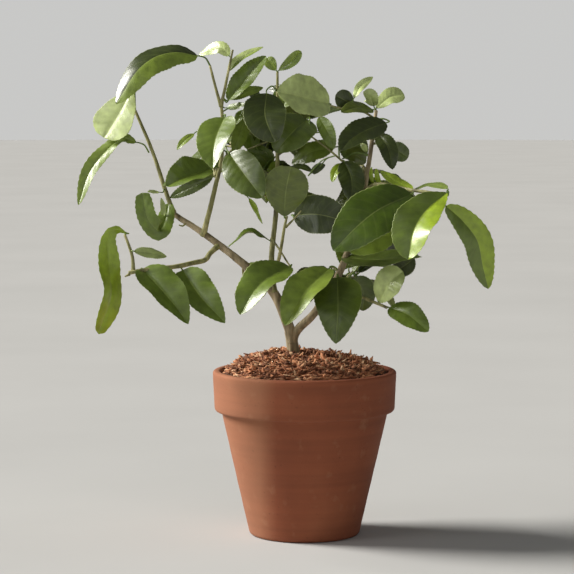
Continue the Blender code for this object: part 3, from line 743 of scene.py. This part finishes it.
def map_leaves(mesh, leaves):
    """Give a mesh of leaves its two maps: the places on each blade, and a cell for each skin to bake in."""
    skin, along, across = np.tile(LEAF_CORNERS, (leaves, 1)).T
    blade = np.stack([vein_phase(along, across), np.abs(across)], axis=1)
    mesh.uv_layers.new(name="Blade").uv.foreach_set("vector", blade.ravel())
    cells = 2 * leaves
    columns = max(1, round(math.sqrt(cells / BAKE_CELL_ASPECT)))
    rows = math.ceil(cells / columns)
    cell = np.repeat(np.arange(leaves), len(LEAF_CORNERS)) * 2 + skin
    room = 1 - 2 * BAKE_CELL_INSET
    x = (cell % columns + BAKE_CELL_INSET + room * along) / columns
    y = (cell // columns + BAKE_CELL_INSET + room * (across + 1) / 2) / rows
    mesh.uv_layers.new(name="OFBake").uv.foreach_set("vector", np.stack([x, y], axis=1).ravel())


def blade_frame(leaf, shares):
    """A leaf's middle line and its sideways and upward directions, for shares of its length."""
    route = smooth_route(leaf.route, BLADE_STEP)
    distance = lengths_along(route)
    ahead = np.gradient(route, axis=0)
    places = np.array(shares, float) * distance[-1]
    spine = np.stack([np.interp(places, distance, route[:, axis]) for axis in range(3)], axis=1)
    forward = unit(np.stack([np.interp(places, distance, ahead[:, axis]) for axis in range(3)], axis=1))
    face = np.array(leaf.face, float)
    up = unit(face - forward * (forward @ face)[:, None])
    side = np.cross(forward, up)
    turn = np.radians(leaf.twist) * smooth_step((np.array(shares, float)[:, None] - 0.15) / 0.6)
    up, side = up * np.cos(turn) + side * np.sin(turn), side * np.cos(turn) - up * np.sin(turn)
    return spine, side, up


def blade_waves(rng, u, across, half):
    """The lift of a blade's uneven waves, strongest at its margins."""
    waves = np.zeros_like(u * across)
    for cycles, share in ((rng.uniform(0.8, 1.4), 0.06), (rng.uniform(1.8, 3.0), 0.05)):
        phase = rng.uniform(0, 2 * math.pi)
        hand = rng.uniform(0.5, 1.6)
        wave = np.sin(2 * math.pi * cycles * u + phase + hand * np.sign(across))
        waves += share * half * wave * across ** 2
    return waves


def add_leaf(heap, leaf, rng):
    """One leaf blade: a thin closed sheet with folded, wavy halves, a sunk midrib and raised veins."""
    along = np.linspace(0, 1, LEAF_STEPS + 1)
    across = np.array([-v for v in HALF_BLADE[::-1]] + HALF_BLADE)[None, :]
    spine, side, up = blade_frame(leaf, along)
    u = along[:, None]
    half = leaf.width / 2 * blade_width(leaf.shape, along)
    half = np.maximum(half + margin_teeth(along, half), 0.35)[:, None]
    out = np.abs(across) * half
    fold = math.radians(leaf.fold)
    slim = np.minimum(1, half / 7)
    swell = 4 * np.abs(across) * (1 - np.abs(across))
    quilt = -QUILTING * np.cos(2 * math.pi * vein_phase(u, across)) * swell
    groove = -GROOVE_DEPTH * np.exp(-(across / GROOVE_SHARE) ** 2)
    lift = out * math.sin(fold) + blade_waves(rng, u, across, half) - EDGE_DROOP * across ** 2 * half
    tip_droop = rng.uniform(0.0, MOST_TIP_DROOP) * leaf.width
    lift = lift + (quilt + groove) * slim - tip_droop * smooth_step((u - 0.6) / 0.4) ** 2
    spread = out * math.cos(fold) * np.sign(across)
    top = spine[:, None, :] + side[:, None, :] * spread[..., None] + up[:, None, :] * lift[..., None]
    rib = 0.5 * (1 - 0.6 * u) * (np.abs(across) <= MIDRIB_SHARE) * slim
    thickness = LEAF_THICKNESS * (1 - 0.55 * across ** 2) + rib
    under = top - up[:, None, :] * thickness[..., None]
    places = np.concatenate([top.reshape(-1, 3), under.reshape(-1, 3)])
    heap.add(places, LEAF_FACES, leaf_finishes(leaf.tone))
    heap.leaves += 1


def stem_points():
    """Points along every stem, where a leaf's stalk can start."""
    return np.concatenate([smooth_route(stem.route, 2.0) for stem in WOOD + SHOOTS + TWIGS])


def add_stalk(heap, leaf, points):
    """The leaf's stalk: from its root, swinging round into the blade's own direction."""
    foot = np.array(leaf.route[0], float)
    nearest = points[np.argmin(np.linalg.norm(points - foot, axis=1))]
    root = nearest if leaf.root is None else np.array(leaf.root)
    blade = unit(np.array(leaf.route[1]) - foot)
    reach = np.linalg.norm(foot - root)
    bend = foot - blade * min(4.0, reach * 0.5)
    crest = (root + bend) / 2 + np.array([0, 0, 0.15 * reach])
    route = smooth_route([root, crest, bend, foot + blade], STALK_STEP)
    size = min(1.0, leaf.width / 18) * 0.4 + 0.6
    radii = np.linspace(STALK_RADIUS * 1.25, STALK_RADIUS * 0.85, len(route)) * size
    tube(heap, route, radii, STALK_SIDES, "stalk")


def build_sprays(materials):
    """Every placed spray of leaves, and their stalks as one piece; returns the leaves for casting rays."""
    rng = random.Random(7)
    stalks = Heap()
    points = stem_points()
    skins = []
    for name, (masses, leaves) in SPRAYS.items():
        heap = Heap()
        for leaf in leaves:
            add_leaf(heap, leaf, rng)
            add_stalk(stalks, leaf, points)
        finish_piece(heap, name, materials, masses)
        skins += heap.places
    finish_piece(stalks, "leaf_stalks", materials, [])
    faces = [tuple(i + n * len(skins[0]) for i in face) for n in range(len(skins)) for face in LEAF_FACES]
    return BVHTree.FromPolygons([Vector(place) for skin in skins for place in skin], faces)


# ------------------------------------------------------------------ shoots behind the plant

# Shoots that grow by rule, behind the leaves that show: the masses they take the place of, where on the
# limbs they start, the corners of the space they reach into (none for the masses' own), and how many.
Thicket = namedtuple("Thicket", "masses start low high shoots")

THICKETS = {
    "leaves_back_left": Thicket(["foliage_back_left"], (-60, 68, 326), None, None, 5),
    "leaves_back_middle": Thicket(["foliage_back_middle"], (-44, 46, 310), None, None, 6),
    "leaves_back_right": Thicket(["foliage_back_right"], (52, 72, 308), None, None, 6),
    "leaves_back_low": Thicket(["foliage_back_low"], (38, 54, 214), None, None, 5),
    "leaves_inner_left": Thicket([], (-75, 8, 303), (-100, 30, 300), (-60, 62, 350), 4),
    "leaves_inner_upper": Thicket([], (-23, 25, 325), (-50, 40, 340), (10, 75, 375), 5),
    "leaves_inner_centre": Thicket([], (-24, 18, 276), (-40, 45, 250), (15, 80, 300), 4),
    "leaves_inner_right": Thicket([], (52, 14, 300), (30, 35, 280), (80, 75, 345), 5),
    "leaves_inner_low": Thicket([], (29, -12, 223), (10, 20, 200), (75, 45, 250), 4),
    "leaves_behind_left": Thicket([], (-52, 10, 229), (-60, 35, 190), (-25, 60, 225), 3),
}
THICKET_TONES = ["deep", "dark", "dark", "mid", "mid", "fresh", "olive"]
NODE_STEP = 9.0                  # millimetres between a shoot's leaves
HIDDEN_LENGTHS = (27, 44)        # least and most, in millimetres
HIDDEN_WIDTHS = (0.48, 0.62)     # the same, of the length
TRIES = 14
SHOOT_ENDS_TRIED = 6
MOST_SEEN = 0.1                  # share of a hidden leaf that may show past the leaves in front
LEAF_CLEARANCE = 3.0
EYE = np.array(CAMERA_PLACE) / MM


def seen_share(points, cover):
    """The share of the points that the camera sees past the leaves in front."""
    seen = 0
    for point in points:
        ray = Vector(point - EYE)
        seen += cover.ray_cast(Vector(EYE), ray.normalized(), ray.length - 1.0)[0] is None
    return seen / len(points)


def blade_samples(leaf):
    """Points spread over a leaf's blade."""
    spine, side, _ = blade_frame(leaf, [0.1, 0.3, 0.5, 0.7, 0.9, 1.0])
    half = leaf.width / 2
    return np.concatenate([spine, spine[1:5] + side[1:5] * half * 0.8, spine[1:5] - side[1:5] * half * 0.8])


def random_leaf(rng, foot, forward, turn):
    """A leaf for a shoot: it leaves the shoot sideways and hangs a little."""
    side = unit(np.cross(forward, [0, 0, 1]))
    outward = side * math.cos(turn) + np.cross(side, forward) * math.sin(turn)
    heading = unit(outward * rng.uniform(0.7, 1.1) + forward * rng.uniform(0.2, 0.9)
                   + [0, 0, rng.uniform(-0.7, 0.1)])
    length = rng.uniform(*HIDDEN_LENGTHS)
    foot = foot + heading * rng.uniform(4, 8)
    tip = foot + heading * length
    middle = (foot + tip) / 2 + np.array([0, 0, rng.uniform(1, 6)])
    face = unit(np.array([0, 0, 1.0]) + outward * rng.uniform(0.2, 1.0) + [0, rng.uniform(0, 0.5), 0])
    return Leaf([foot, middle, tip], length * rng.uniform(*HIDDEN_WIDTHS), tuple(face), rng.uniform(4, 22),
                rng.uniform(-25, 25), rng.choice(THICKET_TONES), rng.choice(["oval", "egg"]))


def grow_shoot(rng, start, end, cover, taken):
    """A shoot, and the leaves round it that stay behind the leaves in front and clear of each other."""
    start, end = np.array(start, float), np.array(end, float)
    middle = (start + end) / 2 + [rng.uniform(-4, 4), rng.uniform(-4, 4), rng.uniform(-2, 8)]
    stem = Stem(1.1, 0.6, [tuple(start), tuple(middle), tuple(end)], [])
    route = smooth_route(stem.route, SHOOT_STEP)
    forward = unit(np.gradient(route, axis=0))
    distance = lengths_along(route)
    turn = rng.uniform(0, 2 * math.pi)
    leaves = []
    place = 6.0
    while place < distance[-1]:
        i = int(np.searchsorted(distance, place))
        for _ in range(TRIES):
            turn += GOLDEN_ANGLE
            leaf = random_leaf(rng, route[i], forward[i], turn)
            points = blade_samples(leaf)
            inside = (points > PLANT_LOW).all() and (points < PLANT_HIGH).all()
            apart = np.linalg.norm(taken[0][:, None, :] - points[None, :, :], axis=2).min() > LEAF_CLEARANCE
            if inside and apart and seen_share(points, cover) <= MOST_SEEN:
                taken[0] = np.concatenate([taken[0], points])
                leaves.append(leaf)
                break
        place += NODE_STEP
    return stem, leaves


def build_thickets(materials, cover):
    """The leaves that grow by rule: seeded shoots behind the plant, out of the camera's sight."""
    rng = random.Random(21)
    twigs = Heap()
    taken = [np.concatenate([blade_samples(leaf) for _, leaves in SPRAYS.values() for leaf in leaves])]
    for name, thicket in THICKETS.items():
        low, high = np.array(thicket.low), np.array(thicket.high)
        if thicket.masses:
            low, high = (np.array(corner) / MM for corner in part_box(thicket.masses[0]))
        heap = Heap()
        for _ in range(thicket.shoots):
            shares = [np.array([rng.uniform(0.1, 0.9) for _ in range(3)]) for _ in range(SHOOT_ENDS_TRIED)]
            ends = [low + (high - low) * share for share in shares]
            seen = [seen_share(smooth_route([thicket.start, end], 8), cover) for end in ends]
            stem, leaves = grow_shoot(rng, thicket.start, ends[int(np.argmin(seen))], cover, taken)
            if not leaves:
                continue
            add_stem(twigs, stem, SHOOT_SIDES, SHOOT_STEP, "shoot", TWIG_FURROWS)
            points = smooth_route(stem.route, SHOOT_STEP)
            for leaf in leaves:
                add_leaf(heap, leaf, rng)
                add_stalk(twigs, leaf, points)
        finish_piece(heap, name, materials, thicket.masses)
    finish_piece(twigs, "back_twigs", materials, [])


# ------------------------------------------------------------------ pot

POT_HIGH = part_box("pot")[1]
POT_HEIGHT = POT_HIGH.z / MM
RIM_RADIUS = POT_HIGH.x / MM
BAND_HEIGHT = 34.0
BAND_TAPER = 1.5
BAND_STEP = 7.2
BODY_DROP = 0.6                  # how far the body's top lies below the band's foot
BAND_FOOT_RADIUS = RIM_RADIUS - BAND_TAPER
BODY_TOP_RADIUS = RIM_RADIUS - BAND_STEP
BASE_RADIUS = 46.7
INNER_ROUND = 2.6                # how far each corner's rounding reaches
RIM_ROUND = 3.2
BAND_ROUND = 2.6
BASE_ROUND = 3.5
WALL = 7.0
FLOOR = 9.0
DRAIN_HOLES = 3
DRAIN_SIDES = 32
DRAIN_RADIUS = 5.0
DRAIN_OFFSET = 22.0
DRAIN_FIRST_ANGLE = math.radians(34.5)


def arc_corner(before, corner, after, radius):
    """Points that round off a profile's corner."""
    before, corner, after = (np.array(p, float) for p in (before, corner, after))
    start = corner + unit(before - corner) * radius
    end = corner + unit(after - corner) * radius
    shares = [i / ARC_STEPS for i in range(ARC_STEPS + 1)]
    return [start * (1 - t) ** 2 + corner * 2 * t * (1 - t) + end * t ** 2 for t in shares]


def inner_radius(z):
    """The pot's inner radius at a height."""
    slope = (BODY_TOP_RADIUS - BASE_RADIUS) / (POT_HEIGHT - BAND_HEIGHT)
    return BASE_RADIUS + slope * z - WALL


def pot_profile():
    """The pot's (radius, z) outline, from the middle of its floor round the rim to its underside."""
    band_foot = POT_HEIGHT - BAND_HEIGHT
    inner_foot = (inner_radius(FLOOR), FLOOR)
    inner_rim = (inner_radius(POT_HEIGHT), POT_HEIGHT)
    outer_rim = (RIM_RADIUS, POT_HEIGHT)
    band_edge = (BAND_FOOT_RADIUS, band_foot)
    body_top = (BODY_TOP_RADIUS, band_foot - BODY_DROP)
    base = (BASE_RADIUS, 0)
    points = [(0.01, FLOOR), (20, FLOOR), inner_foot]
    points += [(inner_radius(z), z) for z in np.linspace(20, POT_HEIGHT - 8, 8)]
    points += arc_corner(inner_foot, inner_rim, outer_rim, INNER_ROUND)
    points += arc_corner(inner_rim, outer_rim, band_edge, RIM_ROUND)
    points += [(RIM_RADIUS - BAND_TAPER * t, POT_HEIGHT - BAND_HEIGHT * t)
               for t in (0.2, 0.35, 0.5, 0.65, 0.8)]
    points += arc_corner(outer_rim, band_edge, body_top, BAND_ROUND)
    points += [body_top]
    for t in np.linspace(0.03, 0.95, 22):
        points.append((BODY_TOP_RADIUS + (BASE_RADIUS - BODY_TOP_RADIUS) * t,
                       (band_foot - BODY_DROP) * (1 - t)))
    points += arc_corner(body_top, base, (0, 0), BASE_ROUND)
    points += [(30, 0), (15, 0), (0.01, 0)]
    return points


def cut_drain_holes(pot):
    """Cut the ring of drain holes through the pot's floor."""
    cutters = []
    for i in range(DRAIN_HOLES):
        angle = DRAIN_FIRST_ANGLE + 2 * math.pi * i / DRAIN_HOLES
        place = (DRAIN_OFFSET * MM * math.cos(angle), DRAIN_OFFSET * MM * math.sin(angle), 0)
        bpy.ops.mesh.primitive_cylinder_add(vertices=DRAIN_SIDES, radius=DRAIN_RADIUS * MM,
                                            depth=4 * FLOOR * MM, location=place)
        cutters.append(bpy.context.object)
        cut = pot.modifiers.new("drain", "BOOLEAN")
        cut.operation = "DIFFERENCE"
        cut.object = cutters[-1]
    pierced = bpy.data.meshes.new_from_object(pot.evaluated_get(bpy.context.evaluated_depsgraph_get()))
    pot.modifiers.clear()
    pot.data = pierced
    for cutter in cutters:
        bpy.data.objects.remove(cutter)


def build_pot(materials):
    """The pot: turned, with faint throwing rings, a slightly uneven rim and drain holes in its floor."""
    heap = Heap()
    profile = pot_profile()
    places = []
    for radius, z in profile:
        for i in range(POT_SIDES):
            angle = 2 * math.pi * i / POT_SIDES
            rings = 0.10 * noise.noise(Vector((0, 0, z / 2.1))) + 0.05 * math.sin(z * 1.1)
            wobble = 0.22 * noise.noise(Vector((math.cos(angle) * 1.3, math.sin(angle) * 1.3, z / 60)))
            grown = radius + (rings + wobble - 0.25) * min(1, radius / 30)
            places.append((grown * math.cos(angle), grown * math.sin(angle), z))
    faces = ring_faces(len(profile), POT_SIDES, order=(1, 0, 3, 2))
    last = (len(profile) - 1) * POT_SIDES
    faces.append(tuple(range(POT_SIDES)))
    faces.append(tuple(last + i for i in range(POT_SIDES))[::-1])
    heap.add(places, faces, ["terracotta"] * len(faces))
    cut_drain_holes(finish_piece(heap, "clay_pot", materials, ["pot"]))


# ------------------------------------------------------------------ mulch

def mix_surface():
    """The top of the potting mix, ready to be asked for its height."""
    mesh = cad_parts["potting_mix"].data
    places = [vertex.co.copy() for vertex in mesh.vertices]
    return BVHTree.FromPolygons(places, [tuple(face.vertices) for face in mesh.polygons])


def height_at(surface, x, y):
    """Height of the potting mix at a place, in millimetres."""
    hit = surface.ray_cast(Vector((x * MM, y * MM, 1.0)), Vector((0, 0, -1)))[0]
    return hit.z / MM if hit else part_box("potting_mix")[0].z / MM


def chip_shape(rng, centre, heading, tilt, length, width, thickness, bend):
    """A split sliver of bark: a bent, twisted four-sided bar with ragged, narrowing ends."""
    level = math.cos(tilt)
    forward = np.array([math.cos(heading) * level, math.sin(heading) * level, math.sin(tilt)])
    side = unit(np.cross(forward, [rng.uniform(-0.6, 0.6), rng.uniform(-0.6, 0.6), 1.0]))
    up = np.cross(side, forward)
    twist = rng.uniform(-0.9, 0.9)
    places = []
    for i in range(CHIP_STATIONS):
        t = i / (CHIP_STATIONS - 1)
        middle = centre + forward * (t - 0.5) * length + up * bend * (4 * t * (1 - t) - 0.5)
        turned = side * math.cos(twist * t) + up * math.sin(twist * t)
        lifted = np.cross(turned, forward)
        taper = (0.40 + 0.60 * math.sin(math.pi * t)) * rng.uniform(0.75, 1.25)
        for a, b in ((-1, -1), (1, -1), (1, 1), (-1, 1)):
            skew = rng.uniform(0.7, 1.2)
            places.append(middle + turned * a * width / 2 * taper * skew + lifted * b * thickness / 2 * taper)
    faces = ring_faces(CHIP_STATIONS, 4)
    faces.append((3, 2, 1, 0))
    faces.append(tuple(4 * (CHIP_STATIONS - 1) + j for j in range(4)))
    return places, faces


def build_mulch_bed(materials, surface, reach):
    """The dark uneven bed under the mulch."""
    bed = Heap()
    places = [(0, 0, height_at(surface, 0, 0))]
    for ring in range(1, BED_RINGS + 1):
        for i in range(BED_SIDES):
            angle = 2 * math.pi * i / BED_SIDES
            radius = reach * ring / BED_RINGS
            x, y = radius * math.cos(angle), radius * math.sin(angle)
            z = height_at(surface, x * BED_SHRINK, y * BED_SHRINK) + 0.9 * noise.noise(Vector((x, y, 0)) / 4)
            places.append((x, y, z))
    faces = [(0, 1 + i, 1 + (i + 1) % BED_SIDES) for i in range(BED_SIDES)]
    faces += ring_faces(BED_RINGS, BED_SIDES, order=(0, 3, 2, 1), offset=1)
    bed.add(places, faces, ["soil"] * len(faces))
    finish_piece(bed, "mulch_bed", materials, ["potting_mix"])


def build_mulch_chips(materials, surface, reach):
    """The mulch: some thousands of loose slivers and fibres of bark, heaped a little on the left."""
    rng = random.Random(5)
    chips = Heap()
    tones = list(CHIP_TONES)
    for number in range(CHIPS + FIBRES):
        fibre = number >= CHIPS
        angle = rng.uniform(0, 2 * math.pi)
        radius = (reach - 3.0) * math.sqrt(rng.random())
        x, y = radius * math.cos(angle), radius * math.sin(angle)
        length = rng.uniform(*FIBRE_LENGTHS) if fibre else rng.triangular(*CHIP_LENGTHS)
        width = rng.uniform(*FIBRE_WIDTHS) if fibre else rng.triangular(*CHIP_WIDTHS)
        thickness = width * rng.uniform(0.5, 0.9) if fibre else rng.uniform(0.4, 1.2)
        heap_height = 4.6 * max(0.0, noise.noise(Vector((x, y, 3)) / 9) + 0.3)
        rise = CREST_HEIGHT * math.exp(-((x - CREST[0]) ** 2 + (y - CREST[1]) ** 2) / CREST_SPREAD)
        z = height_at(surface, x, y) + rng.uniform(-0.5, 1.6)
        z += (heap_height + rise) * (1 - (radius / reach) ** 4)
        near_wall = radius + length / 2 > reach - 1
        heading = angle + math.pi / 2 + rng.uniform(-0.3, 0.3) if near_wall else rng.uniform(0, 2 * math.pi)
        tilt = rng.gauss(0, 0.12 if near_wall else 0.42)
        shape = chip_shape(rng, np.array([x, y, z]), heading, tilt, length, width, thickness,
                           rng.uniform(-0.14, 0.14) * length)
        tone = rng.choices(tones, CHIP_SHARES)[0]
        chips.add(*shape, [tone] * len(shape[1]))
    finish_piece(chips, "mulch_chips", materials, [])


def build_mulch(materials):
    """The bed and the chips, on top of the potting mix and inside the pot's wall."""
    surface = mix_surface()
    reach = inner_radius(POT_HEIGHT - MULCH_DEPTH) - WALL_GAP
    build_mulch_bed(materials, surface, reach)
    build_mulch_chips(materials, surface, reach)


# ------------------------------------------------------------------ stage, lights and camera

FLOOR_REACH = 14000.0            # millimetres
AMBIENT = (0.11, 0.11, 0.108)
HORIZON = (0.58, 0.58, 0.57)
FLOOR_SIDES = 64
PLANT_MIDDLE = (0, 0, 0.22)
FILL_POWER = 11
WINDOW_POWER = 13
KEY_STRENGTH = 5.4
KEY_ANGLE = math.radians(24)
KEY_DIRECTION = (1.22, -0.28, -0.85)
FOCAL_LENGTH = 149.3
CAMERA_DIP = 4.91                # degrees below the horizon


def area_light(name, place, size, power, colour=(1, 1, 1)):
    """A square soft light at a place, aimed at the middle of the plant."""
    light = bpy.data.lights.new(name, "AREA")
    light.size = size
    light.energy = power
    light.color = colour
    lamp = bpy.data.objects.new(name, light)
    lamp.location = place
    lamp.rotation_euler = (Vector(PLANT_MIDDLE) - Vector(place)).to_track_quat("-Z", "Y").to_euler()
    bpy.context.scene.collection.objects.link(lamp)


def build_stage():
    """A plain pale round floor, wide enough that its edge is far from every side."""
    heap = Heap()
    angles = [2 * math.pi * i / FLOOR_SIDES for i in range(FLOOR_SIDES)]
    places = [(0, 0, 0)] + [(FLOOR_REACH * math.cos(angle), FLOOR_REACH * math.sin(angle), 0)
                            for angle in angles]
    faces = [(0, 1 + i, 1 + (i + 1) % FLOOR_SIDES) for i in range(FLOOR_SIDES)]
    material, tree, shader = new_material("pale_floor", 0.95, Specular_IOR_Level=0.1)
    grain = ramp(tree, noise_node(tree, 3, 4), [(0.3, (0.50, 0.50, 0.49)), (0.7, (0.53, 0.53, 0.52))])
    tree.links.new(grain, shader.inputs["Base Color"])
    heap.add(places, faces, ["floor"] * len(faces))
    heap.build("floor", {"floor": material})


def build_lights():
    """Soft studio light: a key from the left and a little behind, a fill, a window and a low ambient."""
    world = bpy.data.worlds.new("studio")
    world.use_nodes = True
    tree = world.node_tree
    where = tree.nodes.new("ShaderNodeTexCoord")
    parts = tree.nodes.new("ShaderNodeSeparateXYZ")
    tree.links.new(where.outputs["Generated"], parts.inputs["Vector"])
    sky = ramp(tree, parts.outputs["Z"], [(0.0, HORIZON), (0.04, HORIZON), (0.16, AMBIENT)])
    tree.links.new(sky, tree.nodes["Background"].inputs["Color"])
    bpy.context.scene.world = world
    area_light("fill", (0.6, -3.0, 1.6), 2.4, FILL_POWER, (1.0, 0.99, 0.96))
    area_light("window", (-2.4, -1.6, 2.1), 1.5, WINDOW_POWER)
    key = bpy.data.lights.new("key", "SUN")
    key.energy = KEY_STRENGTH
    key.angle = KEY_ANGLE
    key.color = (1.0, 0.97, 0.92)
    sun = bpy.data.objects.new("key", key)
    sun.rotation_euler = Vector(KEY_DIRECTION).to_track_quat("-Z", "Y").to_euler()
    bpy.context.scene.collection.objects.link(sun)


def build_camera():
    """The camera: a long lens two metres in front, looking slightly down."""
    camera = bpy.data.cameras.new("camera")
    camera.lens = FOCAL_LENGTH
    camera.sensor_width = 36
    eye = bpy.data.objects.new("camera", camera)
    eye.location = CAMERA_PLACE
    eye.rotation_euler = (math.radians(90 - CAMERA_DIP), 0, 0)
    bpy.context.scene.collection.objects.link(eye)
    bpy.context.scene.camera = eye
    bpy.context.scene.view_settings.view_transform = "Standard"


materials = make_materials()
build_camera()
build_lights()
build_stage()
build_pot(materials)
build_mulch(materials)
build_stems(materials)
leaves_in_front = build_sprays(materials)
build_thickets(materials, leaves_in_front)
